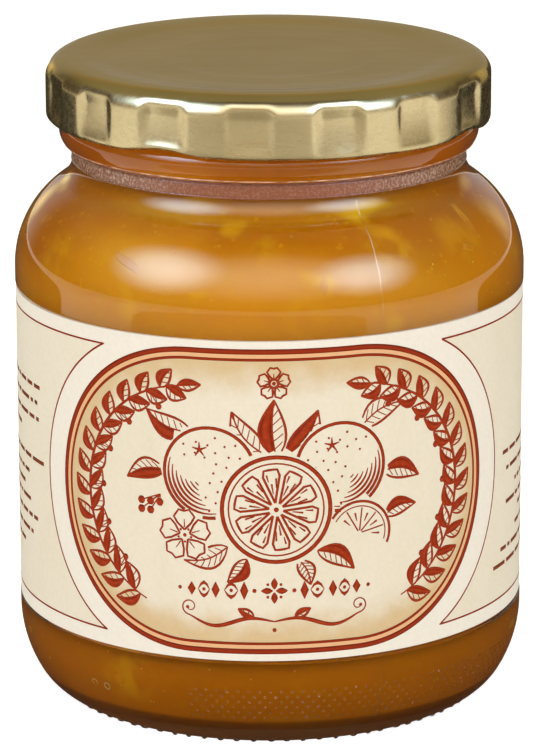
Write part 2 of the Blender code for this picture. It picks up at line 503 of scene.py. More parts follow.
def insidePoints(spread, steps):
    # the wall's inside from the neck to the middle of the floor, moved outwards by spread
    shoulder, heel = dict(jar["innerShoulder"]), dict(jar["innerHeel"])
    shoulder["rounding"] += spread
    shoulder["neck"] += spread
    shoulder["fillet"] -= spread
    heel["rounding"] += spread
    heel["base"] += spread
    floor = jar["floorEdge"] - spread
    wall = jar["inner"] + spread
    points = shoulderPoints(wall, shoulder, steps) + heelPoints(wall, heel, floor, steps)
    rise = jar["floorCrown"] - jar["floorEdge"]
    return points + easedPoints(points[-1], (0, floor + rise), 8)


def makeGlass():
    # plain glass, but clear to the lamps' shadow rays, so that they reach the marmalade
    material, tree, shader = newMaterial("clearGlass", {
        "Base Color": jar["colour"], "Roughness": 0.05, "IOR": 1.52, "Transmission Weight": 1.0,
        "Specular IOR Level": 0.3, "Specular Tint": jar["tint"]})
    _, waves = mottle(tree, jar["waves"], 1.0)
    bump(shader, waves, jar["waveHeight"], 0.6)
    path = tree.nodes.new("ShaderNodeLightPath")
    clear = tree.nodes.new("ShaderNodeBsdfTransparent")
    mix = tree.nodes.new("ShaderNodeMixShader")
    tree.links.new(path.outputs["Is Shadow Ray"], mix.inputs[0])
    tree.links.new(shader.outputs[0], mix.inputs[1])
    tree.links.new(clear.outputs[0], mix.inputs[2])
    tree.links.new(mix.outputs[0], tree.nodes["Material Output"].inputs["Surface"])
    return material


def outsidePoints():
    bead = jar["bead"]
    neck = jar["shoulder"]["neck"]
    panel = jar["panelRadius"]
    step = jar["panelStep"]
    points = arcPoints((neck, bead["middle"]), bead["proud"], 85, -90, 22, height=bead["half"])
    points += shoulderPoints(jar["radius"], jar["shoulder"], 26)
    points += easedPoints((jar["radius"], jar["panelTop"] + step), (panel, jar["panelTop"]), 5)
    points += straightPoints((panel, jar["panelTop"]), (panel, jar["panelBottom"]), 6)
    points += easedPoints((panel, jar["panelBottom"]), (jar["radius"], jar["panelBottom"] - step), 5)
    return points + heelPoints(jar["radius"], jar["heel"], 0, 20)


def makeJar(glass):
    lipHeight = jar["finishTop"] - jar["lip"]
    lip = arcPoints((jar["mouth"] + jar["lip"], lipHeight), jar["lip"], 180, 90, 5)
    lip += arcPoints((jar["finishRadius"] - jar["lip"], lipHeight), jar["lip"], 90, 0, 5)
    foot = [(jar["ringInner"], 0)]
    foot += easedPoints((jar["ringInner"], 0), (jar["punt"], jar["puntRise"]), 5)
    foot += easedPoints((jar["punt"], jar["puntRise"]), (0, jar["puntCrown"]), 10)
    outline = insidePoints(0, 16)[::-1] + lip + outsidePoints() + foot
    piece = turnPiece("glassJar", outline, jar["steps"])
    smoothShade(piece)
    standOn(piece, glass, "jar")


clearGlass = makeGlass()
makeJar(clearGlass)
print("glass jar is turned")


# Marmalade

fill = {
    "level": 91.0 * mm,
    "intoWall": 0.10 * mm,
    "steps": 240,
    "deep": (0.38, 0.100, 0.0003),
    "golden": (0.50, 0.168, 0.0004),
    "patch": (0.62, 0.300, 0.0030),
    "low": (0.37, 0.092, 0.0002),
    # soft pale places: (turn, height, reach)
    "pale": ((-1.8, 76.7, 3.0), (28.2, 76.4, 2.2), (32, 74.2, 2.0), (7.8, 66, 2.4), (19, 78.3, 2.0),
             (52, 74.9, 2.4), (56, 73.1, 2.0), (-35.8, 10.6, 4.0), (-60, 70, 3.0)),
    # the fill's colour in the neck, partly painted shade: a redder tone standing for the lid's shade over the
    # neck
    "neck": (0.63, 0.136, 0.0003),
    # a painted shadow: the fill's bottom darkened where the base ring shades it
    "foot": (0.085, 0.022, 0.0006),
    # heights between which a colour fades in
    "onShoulder": (80 * mm, 68 * mm),
    "lowDown": (24 * mm, 14 * mm),
    "inNeck": (81 * mm, 85 * mm),
    "footShadowHeights": (5.3 * mm, 4.6 * mm),
    "sheen": (1.0, 0.85, 0.05),
    "glow": 3.0 * mm,
}


def paleShare(tree):
    # how near a point is to one of the pale places
    share = 0.0
    for turn, height, reach in fill["pale"]:
        away = tree.nodes.new("ShaderNodeVectorMath")
        away.operation = "DISTANCE"
        tree.links.new(objectPlace(tree), away.inputs[0])
        away.inputs[1].default_value = placeAt(jar["inner"] - 2 * mm, height * mm, turn)
        near = between(Amount(tree, away.outputs["Value"]), (reach + 2) * mm, 1.5 * mm)
        share = near.maths("MAXIMUM", share)
    return share


def makeFillFinish():
    material, tree, shader = newMaterial("orangeMarmalade", {
        "Roughness": 0.42, "Specular IOR Level": 0.35, "Specular Tint": fill["sheen"],
        "Subsurface Weight": 0.5, "Subsurface Radius": (1.0, 0.5, 0.12), "Subsurface Scale": fill["glow"]})
    height = objectParts(tree)[2]
    _, uneven = mottle(tree, 45, 2.0, 0.35, 0.65)
    patches, _ = mottle(tree, 95, 1.5, 0.60, 0.74, stretch=(1, 1, 1.5))
    pulpy, _ = mottle(tree, 900, 2.0, 0.62, 0.75)
    cloud, _ = mottle(tree, 260, 2.0, 0.35, 0.60)
    unevenHeight = height + (uneven - 0.5) * 0.03
    colour = blend(between(unevenHeight, *fill["onShoulder"]), fill["deep"], fill["golden"])
    colour = blend(patches, colour, fill["patch"])
    colour = blend(pulpy * 0.35, colour, fill["patch"])
    colour = blend(between(height, *fill["lowDown"], 0.0, 0.85), colour, fill["low"])
    colour = blend(paleShare(tree) * cloud * 0.38, colour, fill["patch"])
    # redder in the neck: partly a painted shade tint from the lid above
    colour = blend(between(height, *fill["inNeck"]), colour, fill["neck"])
    # painted shadow darkening the fill's bottom at the base ring
    colour = blend(between(height, *fill["footShadowHeights"], 0.0, 0.6), colour, fill["foot"])
    feed(tree, shader.inputs["Base Color"], colour)
    return material


def makeFill():
    neck = jar["innerShoulder"]["neck"] + fill["intoWall"]
    top = straightPoints((0, fill["level"]), (neck, fill["level"]), 8)
    piece = turnPiece("marmaladeFill", top + insidePoints(fill["intoWall"], 16), fill["steps"])
    smoothShade(piece)
    standOn(piece, makeFillFinish(), "marmalade")


makeFill()
print("marmalade is filled in")


# Lid

lid = {
    "top": 97.85 * mm,
    "bottom": 88.5 * mm,
    "radius": 33.35 * mm,
    "rounding": 3.1 * mm,
    "sheet": 0.4 * mm,
    "rimInner": 28.9 * mm,
    "rimSlopeEnd": 23.4 * mm,
    "rimSlopeDepth": 0.46 * mm,
    "rings": ((21.4 * mm, 0.55 * mm), (20.6 * mm, 0.58 * mm), (15.4 * mm, 0.64 * mm), (14.6 * mm, 0.68 * mm)),
    "buttonDepth": 0.74 * mm,
    "curl": 0.75 * mm,
    "flutes": 16,
    "stepsPerFlute": 24,
    "fluteDepth": 0.66 * mm,
    "flutePhase": -4.9,
    "fadeTop": 97.1 * mm,
    "fullTop": 94.4 * mm,
    "flareTop": 95.0 * mm,
    "edgeTop": 91.3 * mm,
    "scoopShare": 0.19,
    "slopeShare": 0.12,
    "lugs": 4,
    "lugPhase": -28,
    "lugHalfWidth": 13,
    "lugRise": 0.8 * mm,
    "skew": 0.2 * mm,
    "gold": (0.50, 0.41, 0.23),
    "goldDark": (0.46, 0.37, 0.20),
    "edgeTint": (0.75, 0.63, 0.42),
}


def offCentre(turn, count, phase):
    # degrees from the middle of the nearest of so many equal marks round the lid
    pitch = 360 / count
    return abs((turn - phase + pitch / 2) % pitch - pitch / 2)


def fluteShare(turn):
    off = offCentre(turn, lid["flutes"], lid["flutePhase"]) / (360 / lid["flutes"])
    return 1 - ease((off - lid["scoopShare"]) / lid["slopeShare"])


def pressSkirt(piece):
    for vertex in piece.data.vertices:
        x, y, z = vertex.co
        radius = math.hypot(x, y)
        if radius < lid["radius"] - lid["rounding"] - lid["sheet"]:
            continue
        turn = math.degrees(math.atan2(x, -y))
        belowRim = ease((lid["fadeTop"] - z) / (lid["fadeTop"] - lid["fullTop"]))
        flare = max(0, lid["flareTop"] - z) / (lid["flareTop"] - lid["bottom"])
        scale = 1 - lid["fluteDepth"] * fluteShare(turn) * belowRim * (1 - flare**2) / radius
        atEdge = ease((lid["edgeTop"] - z) / (lid["edgeTop"] - lid["bottom"]))
        overLug = 1 - ease(offCentre(turn, lid["lugs"], lid["lugPhase"]) / lid["lugHalfWidth"])
        z += atEdge * (lid["lugRise"] * overLug - lid["skew"] * math.sin(math.radians(turn)))
        vertex.co = (x * scale, y * scale, z)


def makeGold():
    material, tree, shader = newMaterial("goldLacquer", {"Metallic": 1.0, "Specular Tint": lid["edgeTint"]})
    tint, _ = mottle(tree, 60, 2.0, 0.35, 0.7)
    _, streaks = mottle(tree, 400, 3.0, 0.3, 0.7, stretch=(0.25, 3, 3))
    onTop = between(objectParts(tree)[2], 96.5 * mm, 97.0 * mm)
    feed(tree, shader.inputs["Base Color"], blend(tint, lid["gold"], lid["goldDark"]))
    feed(tree, shader.inputs["Roughness"], between(streaks, 0.3, 0.7, 0.24, 0.30) - onTop * 0.07)
    bump(shader, streaks * onTop, 0.003 * mm, 0.4)
    return material


def makeLid():
    radius, sheet, curl, top = lid["radius"], lid["sheet"], lid["curl"], lid["top"]
    outline = [(0, top - lid["buttonDepth"])]
    for ring, depth in lid["rings"][::-1]:
        outline += straightPoints(outline[-1], (ring, top - depth), 5)
    outline += straightPoints(outline[-1], (lid["rimSlopeEnd"], top - lid["rimSlopeDepth"]), 3)
    outline += easedPoints(outline[-1], (lid["rimInner"], top), 12)
    outline += arcPoints((radius - lid["rounding"], top - lid["rounding"]), lid["rounding"], 90, 0, 14)
    outline += straightPoints((radius, top - lid["rounding"]), (radius, lid["bottom"] + curl), 20)
    outline += arcPoints((radius - curl, lid["bottom"] + curl), curl, 0, -180, 12)
    inside = radius - sheet
    outline += straightPoints((inside, lid["bottom"] + 2 * curl), (inside, lid["fullTop"]), 12)
    outline += [(radius - lid["rounding"], top - sheet), (lid["rimInner"] + sheet, top - sheet)]
    outline += [(ring, top - depth - sheet) for ring, depth in lid["rings"]]
    outline += [(0, top - lid["buttonDepth"] - sheet)]
    piece = turnPiece("pressedLid", outline, lid["flutes"] * lid["stepsPerFlute"])
    pressSkirt(piece)
    smoothShade(piece)
    standOn(piece, makeGold(), "lid")


makeLid()
print("lid is pressed")


# Paper label

label = {
    "bottom": 15.22 * mm,
    "top": 63.4 * mm,
    "back": 37.84 * mm,
    "face": 38.32 * mm,
    "halfSweep": 174,
    "skew": 0.006,
    "paper": (0.79, 0.75, 0.685),
    "field": (0.74, 0.685, 0.575),
    "fieldPale": (0.76, 0.70, 0.59),
    "streak": (0.66, 0.60, 0.42),
    "grain": (0.35, 0.30, 0.20),
    "tan": (0.62, 0.46, 0.26),
    "peach": (0.74, 0.42, 0.22),
    "middle": (0.6, 39.3),
    "halfStraight": 12.4,
    "bandOuter": 22.4,
    "bandInner": 21.5,
    "panelMiddle": 0.9,
    "panelHalfHeight": 21.8,
    "panelRound": (15.1, 24.7),
    "panelStart": 26.6,
    "panelEnd": 112,
    "softness": 0.05,
}


def labelPlace(tree):
    # millimetres along the paper from its middle, and up from the floor
    x, y, z = objectParts(tree)
    turn = x.maths("ARCTAN2", y * -1.0)
    return turn * (label["face"] / mm), (z - x * label["skew"]) * (1 / mm)


def makePaper():
    material, tree, shader = newMaterial("labelPaper", {"Roughness": 0.6, "Specular IOR Level": 0.1})
    soft = label["softness"]
    along, up = labelPlace(tree)
    middleX, middleZ = label["middle"]
    offZ = up - middleZ
    out = lengthOf((abs(along - middleX) - label["halfStraight"]).maths("MAXIMUM", 0.0), offZ)
    stain, stainRaw = mottle(tree, 260, 4.0, 0.35, 0.7)
    streak, _ = mottle(tree, 150, 3.0, 0.4, 0.75, stretch=(1, 1, 0.35))
    fine, fineRaw = mottle(tree, 1500, 2.0, 0.3, 0.7)
    field = blend(stain * 0.45, label["field"], label["fieldPale"])
    field = blend(streak * 0.25, field, label["streak"])
    cartouche = blend(between(out + (stainRaw - 0.5) * 6.0, 15.2, 21.2), field, label["tan"])
    pastInner = between(out, label["bandInner"] - soft, label["bandInner"] + soft)
    inBand = pastInner * between(out, label["bandOuter"] + soft, label["bandOuter"] - soft)
    # side panels: within the height, clear of the round that frames the cartouche, short of the paper's ends
    offPanel = abs(along - label["panelMiddle"])
    roundPlace, roundRadius = label["panelRound"]
    roundLeft = lengthOf(offPanel - roundPlace, offZ) - roundRadius
    depth = label["panelHalfHeight"] - abs(offZ)
    for left in (roundLeft, offPanel - label["panelStart"], label["panelEnd"] - offPanel):
        depth = depth.maths("MINIMUM", left)
    colour = blend(between(depth, -soft, soft) * 0.9, label["paper"], field)
    colour = blend(1.0 - pastInner, colour, cartouche)
    colour = blend(inBand, colour, label["peach"])
    feed(tree, shader.inputs["Base Color"], blend(fine * 0.06, colour, label["grain"]))
    bump(shader, fineRaw, 0.01 * mm, 0.4)
    return material


def setSkew(piece):
    # the paper is glued on a little askew, higher at the right
    for vertex in piece.data.vertices:
        vertex.co.z += label["skew"] * vertex.co.x


def makeLabel():
    lower, upper, back, face = label["bottom"], label["top"], label["back"], label["face"]
    edge = 0.03 * mm
    outline = [(back, upper), (face - edge, upper), (face, upper - edge)]
    outline += straightPoints((face, upper - edge), (face, lower + edge), 24)
    outline += [(face - edge, lower), (back, lower)]
    sweep = 2 * label["halfSweep"]
    piece = turnPiece("paperLabel", outline, sweep, sweep, -90 - label["halfSweep"], closeOutline=True)
    setSkew(piece)
    smoothShade(piece)
    standOn(piece, makePaper(), "label")


makeLabel()
print("label is wrapped")


# Print on the label: strokes of ink, drawn flat in millimetres along and up the paper, then wrapped round it

ink = {
    "red": (0.31, 0.028, 0.005),
    "faded": (0.42, 0.060, 0.014),
    "small": (0.18, 0.045, 0.015),
    "frame": (0.27, 0.026, 0.005),
    "top": 0.035 * mm,
    "side": 0.012 * mm,
    "sunk": -0.02 * mm,
    "longest": 1.0,
}
strokes = []
covers = []


def covered(point):
    return any(math.dist(point, centre) < radius for centre, radius in covers)


def stroke(points, width, closed=False):
    # a stroke of one width, or of one width for each point, left out where something in front covers it
    widths = list(width) if isinstance(width, (list, tuple)) else [width] * len(points)
    if closed:
        points, widths = points + points[:1], widths + widths[:1]
    run = []
    for i, point in enumerate(points):
        if i and not covered(points[i - 1]) and not covered(point):
            pieces = max(1, math.ceil(math.dist(points[i - 1], point) / ink["longest"]))
            for k in range(1, pieces):
                share = k / pieces
                extra = tuple(a + (b - a) * share for a, b in zip(points[i - 1], point))
                run.append((extra, widths[i - 1] + (widths[i] - widths[i - 1]) * share))
        if covered(point):
            if len(run) > 1:
                strokes.append(run)
            run = []
        else:
            run.append((point, widths[i]))
    if len(run) > 1:
        strokes.append(run)


def swelling(count, thin, thick):
    return [thin + (thick - thin) * math.sin(math.pi * i / (count - 1)) for i in range(count)]


def dot(centre, size):
    x, z = centre
    places = [(x - size / 2, z), (x - size / 4, z), (x + size / 4, z), (x + size / 2, z)]
    stroke(places, [size * 0.3, size, size, size * 0.3])


def polar(centre, radius, degrees):
    a = math.radians(degrees)
    return (centre[0] + radius * math.cos(a), centre[1] + radius * math.sin(a))


def spokeStroke(centre, low, high, degrees, width):
    stroke([polar(centre, low, degrees), polar(centre, high, degrees)], width)


def roundStroke(centre, radius, steps, width):
    stroke(arcPoints(centre, radius, 0, 360, steps)[:-1], width, closed=True)


def leafStrokes(base, heading, length, width, bend=0.12, veins=5, halfFilled=True):
    a = math.radians(heading)

    def at(along, across):
        x = along * length
        y = across + bend * length * math.sin(math.pi * along)
        return (base[0] + x * math.cos(a) - y * math.sin(a), base[1] + x * math.sin(a) + y * math.cos(a))

    def half(along):
        return width / 2 * math.sin(math.pi * along**0.8) + 0.02

    steps = [i / 10 for i in range(11)]
    for side in (-1, 1):
        stroke([at(u, side * half(u)) for u in steps], swelling(11, 0.2, 0.4))
    stroke([at(u, 0) for u in steps], 0.24)
    if halfFilled:
        stroke([at(u, half(u) / 2) for u in steps], [max(0.1, half(u) * 0.92) for u in steps])
    for i in range(1, veins + 1):
        u = i / (veins + 1.2)
        out = half(u + 0.1) * 0.8
        stroke([at(u, 0), at(u + 0.06, -out * 0.5), at(u + 0.13, -out)], 0.15)
        if not halfFilled:
            stroke([at(u, 0), at(u + 0.06, out * 0.5), at(u + 0.13, out)], 0.15)


def wholeOrange(centre, radius, shaded=1):
    # the shaded side is 1 for the right or -1 for the left
    roundStroke(centre, radius, 44, 0.5)
    for k in range(1, 8):
        start, end = -90 + shaded * (8 * k - 18), -90 + shaded * (118 - 9 * k)
        arc = arcPoints(centre, radius - 0.62 * k, start, end, 14)
        stroke(arc, swelling(15, 0.14, 0.52 - 0.045 * k))
    for k in range(40):
        place = polar(centre, radius * 0.88 * math.sqrt((k + 0.5) / 40), 137.5 * k)
        if shaded * (place[0] - centre[0]) < 0.1 * radius or place[1] - centre[1] > 0.35 * radius:
            dot(place, 0.34)
    crown = polar(centre, radius * 0.55, 112)
    for k in range(5):
        stroke([crown, polar(crown, 1.15, 72 * k + 20)], [0.44, 0.14])


def cutOrange(centre, radius, parts, turn=0):
    roundStroke(centre, radius, 48, 0.62)
    roundStroke(centre, radius * 0.88, 44, 0.24)
    step = 360 / parts
    for k in range(parts):
        first, last = turn + k * step + 4.5, turn + (k + 1) * step - 4.5
        middle = (first + last) / 2
        outline = [polar(centre, radius * 0.13, middle), polar(centre, radius * 0.66, first)]
        for share in (0.15, 0.38, 0.62, 0.85):
            outline.append(polar(centre, radius * 0.77, first + (last - first) * share))
        outline.append(polar(centre, radius * 0.66, last))
        stroke(outline, 0.36, closed=True)
        for off, low, high in ((-0.22, 0.42, 0.60), (0.05, 0.30, 0.50), (0.2, 0.54, 0.68)):
            spokeStroke(centre, radius * low, radius * high, middle + off * step, [0.14, 0.3])
    dot(centre, 0.7)


def wedgeStrokes(centre, radius, turn):
    stroke(arcPoints(centre, radius, turn, turn + 180, 24), 0.4)
    stroke([polar(centre, radius, turn), polar(centre, radius, turn + 180)], 0.3)
    stroke(arcPoints(centre, radius * 0.85, turn + 5, turn + 175, 22), 0.18)
    for k in range(1, 5):
        spokeStroke(centre, radius * 0.08, radius * 0.8, turn + 36 * k, 0.22)
    for k in range(5):
        spokeStroke(centre, radius * 0.4, radius * 0.66, turn + 18 + 36 * k, [0.14, 0.32])


def blossomStrokes(centre, radius, turn=0):
    for k in range(5):
        spoke = turn + 72 * k
        petal = [polar(centre, radius * 0.2, spoke)]
        for off, out in ((-30, 0.55), (-30, 0.82), (-12, 1.0), (0, 0.93), (12, 1.0), (30, 0.82), (30, 0.55)):
            petal.append(polar(centre, radius * out, spoke + off))
        stroke(petal, 0.32, closed=True)
        spokeStroke(centre, radius * 0.3, radius * 0.62, spoke, [0.22, 0.12])
        dot(polar(centre, radius * 0.26, spoke + 36), 0.36)
    dot(centre, 0.55)


def branchStrokes(side):
    # one leafy branch up a side of the cartouche, with berries on its inner side
    middle = (label["middle"][0] + side * label["halfStraight"], label["middle"][1])

    def at(degrees, radius):
        a = math.radians(degrees)
        return (middle[0] + side * radius * math.cos(a), middle[1] + radius * math.sin(a))

    first, last, radius = -66, 84, 17.2
    stroke([at(first + (last - first) * i / 60, radius) for i in range(61)], swelling(61, 0.2, 0.5))
    for k in range(13):
        degrees = first + 4 + k * 11.4
        tangent = degrees + 90
        for way in (-1, 1):
            heading = tangent + way * 42
            heading = heading if side > 0 else 180 - heading
            start = degrees + (3.5 if way > 0 else 0)
            size = 4.4 - 0.08 * k
            leafStrokes(at(start, radius), heading, size, 2.1, bend=0.1 * way * side, veins=3)
        if k % 2:
            berry = at(degrees + 7.5, radius - 2.7)
            stroke([at(degrees + 5, radius), berry], 0.16)
            dot(berry, 0.95)
    leafStrokes(at(last, radius), (last + 90) if side > 0 else 180 - (last + 90), 3.6, 1.6, bend=0, veins=3)


def ornamentStrokes(height):
    # a row of lozenges, drops and dots either side of a four-petalled middle
    x = label["middle"][0]
    for k in range(4):
        spoke = 90 * k
        petal = [polar((x, height), out, spoke) for out in (0.25, 0.7, 1.15, 1.6, 1.95)]
        stroke(petal, [0.2, 0.8, 1.0, 0.6, 0.1])
        dot(polar((x, height), 1.35, spoke + 45), 0.42)
    for side in (-1, 1):
        for off, size in ((4.4, 2.7), (8.6, 2.4), (12.2, 2.0)):
            lozenge = [(x + side * off, height + size * share) for share in (-0.5, 0, 0.5)]
            stroke(lozenge, [0.1, 1.25, 0.1])
        for off, reach in ((5.3, 2.0), (9.5, 1.7)):
            for way in (-1, 1):
                drop = [(x + side * (off + t * reach), height + way * 1.05 * math.sin(math.pi * t))
                        for t in (0, 0.25, 0.5, 0.75, 1)]
                stroke(drop, [0.1, 0.35, 0.62, 0.35, 0.1])
            dot((x + side * (off + reach / 2), height), 0.5)
        dot((x + side * 2.9, height), 0.6)
        dot((x + side * 14.0, height), 0.55)


def flourishStrokes(height):
    # a swelling line that ends in a curl on each side, with a small leaf on each half
    x = label["middle"][0]
    for side in (-1, 1):
        wave = [(x + side * 12.5 * t, height + 1.0 * math.sin(2.2 * math.pi * t) * (0.35 + 0.65 * t))
                for t in (i / 24 for i in range(25))]
        stroke(wave, swelling(25, 0.22, 0.62))
        centre = (wave[-1][0], wave[-1][1] + 1.3)
        shares = [i / 26 for i in range(27)]
        curl = [polar(centre, 1.3 * (1 - 0.72 * t), -90 + side * 430 * t) for t in shares]
        stroke(curl, [0.24 - 0.1 * t for t in shares])
        dot(curl[-1], 0.5)
        leafStrokes((x + side * 3.0, height + 0.7), 90 - side * 62, 2.6, 1.1, bend=0, veins=2)
    dot((x, height - 1.3), 0.6)


def frameStrokes():
    x, z = label["middle"]
    half = label["halfStraight"]
    for radius, width in ((22.60, 0.80), (21.4, 0.42)):
        loop = arcPoints((x + half, z), radius, -90, 90, 72) + arcPoints((x - half, z), radius, 90, 270, 72)
        stroke(loop, width, closed=True)
    low, high = 17.55, 61.12
    mid = (low + high) / 2
    # a side panel: (side, where its two tips are, the middle and the radius of its hollow edge)
    for side, tip, middle, radius in ((-1, 26.0, 14.17, 24.83), (1, 27.4, 16.0, 24.5)):
        lean = math.degrees(math.asin((high - low) / 2 / radius))
        turns = [math.radians(lean - 2 * lean * i / 50) for i in range(51)]
        arc = [(side * (middle + radius * math.cos(a)), mid + radius * math.sin(a)) for a in turns]
        end = side * label["panelEnd"]
        stroke(arc + [(side * tip, low), (end, low), (end, high), (side * tip, high)], 0.28, closed=True)


def rowStrokes():
    # plain bars of different lengths where small print would be
    rows = {-1: ((51, 42), (48.5, 43), (46, 42.5), (43.5, 51.5), (39.5, 41), (37, 47), (34.8, 49.5),
                 (32.7, 46.5), (30.3, 43.5), (27.8, 45.5), (25.5, 50)),
            1: ((40, 43.5), (37.3, 45), (34.5, 49.5), (32, 45), (30, 52), (27.5, 50), (25, 43), (22.7, 40.5))}
    for side, z, start in ((side, z, start) for side in rows for z, start in rows[side]):
        place, end = start, 128 - start + random.uniform(-3, 3)
        while place < end:
            length = random.choice((1.0, 1.6, 2.2, 3.0, 4.2))
            stroke([(side * place, z), (side * (place + length), z)], 0.62)
            place += length + 0.75


def drawPrint():
    cutOrange((0.9, 38.3), 7.9, 10, 8)
    covers.append(((0.9, 38.3), 8.4))
    wedgeStrokes((13.2, 34.0), 4.8, -24)
    covers.append(((13.6, 35.4), 3.9))
    blossomStrokes((-12.6, 34.0), 3.9, 20)
    covers.append(((-12.6, 34.0), 3.6))
    wholeOrange((-8.9, 43.6), 6.8, shaded=-1)
    covers.append(((-8.9, 43.6), 7.2))
    wholeOrange((10.4, 44.3), 6.6)
    covers.append(((10.4, 44.3), 7.0))
    # (across, up, heading, length, width, bend)
    leaves = (
        (0.9, 46.2, 92, 8.6, 3.9, 0.05), (-0.5, 46.5, 128, 8.2, 3.6, 0.12),
        (2.4, 46.5, 55, 8.0, 3.6, -0.12), (-11.5, 49.6, 158, 7.6, 3.4, 0.12),
        (13.4, 50.0, 24, 7.6, 3.4, 0.12), (-15.6, 43.6, 196, 6.6, 3.0, -0.12),
        (17.0, 43.0, -14, 6.2, 3.0, 0.12), (-6.2, 32.6, 200, 7.0, 3.1, 0.12),
        (6.9, 31.9, -30, 6.4, 2.9, 0.12), (-3.4, 30.8, 232, 4.6, 2.4, 0.1),
        (4.2, 30.6, -66, 4.2, 2.3, 0.1), (17.2, 36.2, 12, 5.4, 2.5, 0.12),
    )
    for number, (x, z, heading, length, width, bend) in enumerate(leaves):
        leafStrokes((x, z), heading, length, width, bend, veins=6, halfFilled=number % 3 != 1)
    for k in range(5):
        berry = (-19.5 + 1.5 * (k % 3), 38.6 - 1.35 * (k // 3))
        stroke([(-16.4, 39.8), berry], 0.2)
        dot(berry, 1.15)
    covers.clear()
    blossomStrokes((label["middle"][0], 57.2), 2.4, 90)
    for side in (-1, 1):
        branchStrokes(side)
    ornamentStrokes(26.0)
    flourishStrokes(21.3)


def wrapStrokes(name, colour, faded):
    # every stroke in one piece, its thickness set point by point, then wrapped round the paper
    runs = [[((x * mm, z * mm, 0), width / 2 * mm) for (x, z), width in run] for run in strokes]
    strokes.clear()
    piece = curvePiece(name, runs, 1.0, 0, "Z_UP")
    for vertex in piece.data.vertices:
        along, up, lift = vertex.co
        off = ink["side"] if abs(lift) < 0.004 * mm else ink["top"] if lift > 0 else ink["sunk"]
        vertex.co = placeAt(label["face"] + off, up, math.degrees(along / label["face"]))
    setSkew(piece)
    material, tree, shader = newMaterial(name + "Ink", {"Roughness": 0.6, "Specular IOR Level": 0.05})
    patchy, _ = mottle(tree, 1400, 2.0, 0.35, 0.75)
    feed(tree, shader.inputs["Base Color"], blend(patchy * 0.5, colour, faded))
    standOn(piece, material)


frameStrokes()
wrapStrokes("labelFrame", ink["frame"], ink["red"])
drawPrint()
wrapStrokes("labelPrint", ink["red"], ink["faded"])
rowStrokes()
wrapStrokes("labelRows", ink["small"], ink["faded"])
print("label is printed")


# Glass details: neck band, dots round the heel, bumps under the foot and the mould seams

details = {
    "bandTop": 84.15 * mm,
    "bandBottom": 82.45 * mm,
    "bandRadius": 29.60 * mm,
    "bandRoot": 29.30 * mm,
    "ridge": 0.12 * mm,
    "bandRough": 0.035 * mm,
    "bandColour": (0.27, 0.075, 0.030),
    # painted light: the band's greyer tone at the sides and the colour of its painted glints
    "paintedBandSide": (0.17, 0.085, 0.045),
    "paintedBandGlint": (0.50, 0.34, 0.25),
    # thin rings round the neck, painted as a highlight line above a shadow line: (height, half width, colour)
    "neckLines": ((85.05, 0.09, (0.80, 0.52, 0.34)), (84.68, 0.13, (0.10, 0.028, 0.008))),
    "dotRows": (10.35, 9.5, 8.6, 7.7, 6.8, 5.9),
    "dotsRound": 150,
    "dotSweeps": ((-19, 72), (161, 252)),
    "dotSize": (0.24, 0.24, 0.055),
    "footBumps": 82,
    "footHeight": 0.75 * mm,
    "footSize": (0.50, 0.60, 0.26),
    "seamTurn": 25.2,
    "seamWidth": 0.10 * mm,
    "seamSpans": ((64.6 * mm, 82.0 * mm), (4.5 * mm, 13.8 * mm)),
}


def radiusAt(outline, height):
    # radius and outward tilt of an outline at a height, between its nearest two points
    for (r1, z1), (r2, z2) in zip(outline, outline[1:]):
        if (z1 - height) * (z2 - height) <= 0 and z1 != z2:
            share = (height - z1) / (z2 - z1)
            return r1 + (r2 - r1) * share, math.atan2(-(r2 - r1) * (1 if z2 < z1 else -1), abs(z2 - z1))
    return outline[-1][0], 0


def spotOn(outline, turn, height, sizes, depth=0.0, spin=0):
    # a place for a small copy on an outline turned round the axis
    radius, tilt = radiusAt(outline, height)
    return turn, height, radius - depth, -tilt, spin, sizes


def scatterCopies(name, shape, places, material):
    # one small shape, copied to each place: (turn, height, radius, tilt, spin, sizes)
    copies = []
    for turn, height, radius, tilt, spin, sizes in places:
        out = placeAt(1, 0, turn)
        side = Vector((-out.y, out.x, 0))
        facing = (out * math.cos(tilt) + Vector((0, 0, 1)) * math.sin(tilt)).normalized()
        up = facing.cross(side)
        across = math.cos(spin) * side + math.sin(spin) * up
        along = math.cos(spin) * up - math.sin(spin) * side
        columns = (across * sizes[0], along * sizes[1], facing * sizes[2])
        copy = shape.copy()
        copy.data = shape.data.copy()
        moved = Matrix.Translation(placeAt(radius, height, turn))
        copy.data.transform(moved @ Matrix(columns).transposed().to_4x4())
        bpy.context.scene.collection.objects.link(copy)
        copies.append(copy)
    bpy.data.objects.remove(shape, do_unlink=True)
    piece = joinPieces(copies, name)
    editAll()
    bpy.ops.mesh.normals_make_consistent(inside=False)
    leaveEdit()
    bpy.ops.object.shade_smooth()
    standOn(piece, material)


def smallBall(segments, rings):
    # its faces are sorted by their distance from a place aside, because their order differs from run to run
    deselectAll()
    bpy.ops.mesh.primitive_uv_sphere_add(segments=segments, ring_count=rings, radius=1, location=(0, 0, 0))
    cursor = bpy.context.scene.cursor
    cursor.location = (5, 3, 2)
    editAll()
    bpy.ops.mesh.sort_elements(type="CURSOR_DISTANCE", elements={"FACE"})
    leaveEdit()
    cursor.location = (0, 0, 0)
    return bpy.context.object


